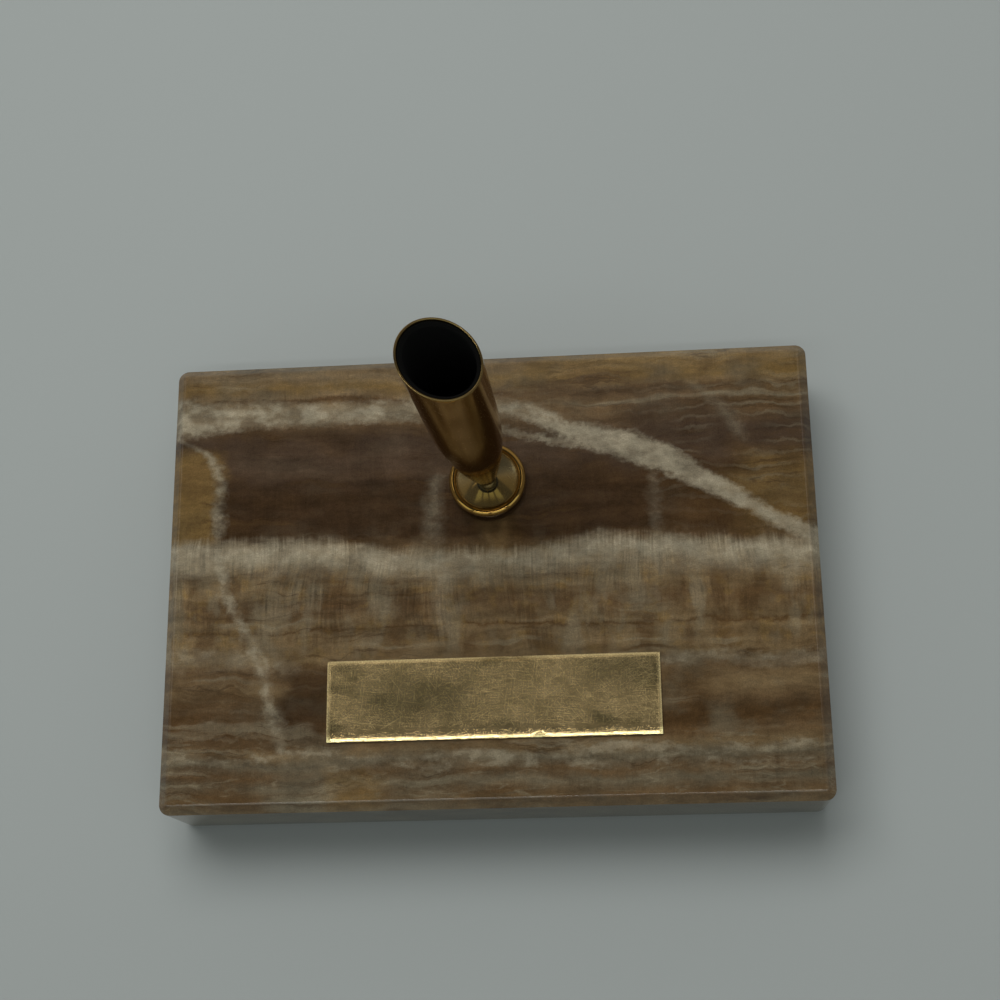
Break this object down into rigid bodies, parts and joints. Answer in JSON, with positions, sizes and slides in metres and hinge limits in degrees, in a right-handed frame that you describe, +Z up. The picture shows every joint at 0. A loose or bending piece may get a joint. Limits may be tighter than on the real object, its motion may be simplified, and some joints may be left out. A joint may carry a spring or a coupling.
{
  "type": "pen stand",
  "caption": "Desk pen stand: polished onyx slab with a slant-mouthed brass pen funnel on a ball swivel in a round dish, and a bare brass plate in front.",
  "frame": {"origin": "middle of the underside of the felt, on the desk", "axes": "+X along the slab, +Y towards the back where the funnel stands, +Z up"},
  "size_m": [0.1524, 0.108, 0.1048],
  "materials": {
    "onyx": "polished banded brown and white onyx",
    "green_felt": "pressed wool felt",
    "polished_brass": "polished, faintly tarnished",
    "worn_brass": "polished, with fine scratches",
    "turned_brass": "turned",
    "black_plastic": "moulded black",
    "white_nylon": "moulded",
    "spring_steel": "drawn wire",
    "plated_steel": "zinc plated",
    "red_fibre": "pressed fibre",
    "adhesive_film": "thin transfer film"
  },
  "bodies": {
    "base": {"onyx_slab": "onyx", "felt_pad": "green_felt", "swivel_dish": "polished_brass", "fibre_washer": "red_fibre", "socket_barrel": "turned_brass", "clamp_washer": "plated_steel", "lock_washer": "spring_steel", "clamp_nut": "plated_steel", "tension_plug": "turned_brass", "friction_spring": "spring_steel", "name_plate": "worn_brass", "plate_adhesive": "adhesive_film"},
    "follower": {"ball_cup": "white_nylon"},
    "funnel": {"swivel_ball": "turned_brass", "funnel_shell": "polished_brass", "tip_plug": "turned_brass", "funnel_liner": "black_plastic"}
  },
  "joints": [
    {"name": "funnel_turn", "type": "hinge", "parent": "base", "child": "follower", "pos_m": [0, 0.022, 0.0238], "axis": [0, 0, 1], "continuous": true},
    {"name": "funnel_tilt", "type": "hinge", "parent": "follower", "child": "funnel", "pos_m": [0, 0.022, 0.0238], "axis": [0.2924, 0.9563, 0], "range_deg": [-16.1, 19.9]}
  ]
}
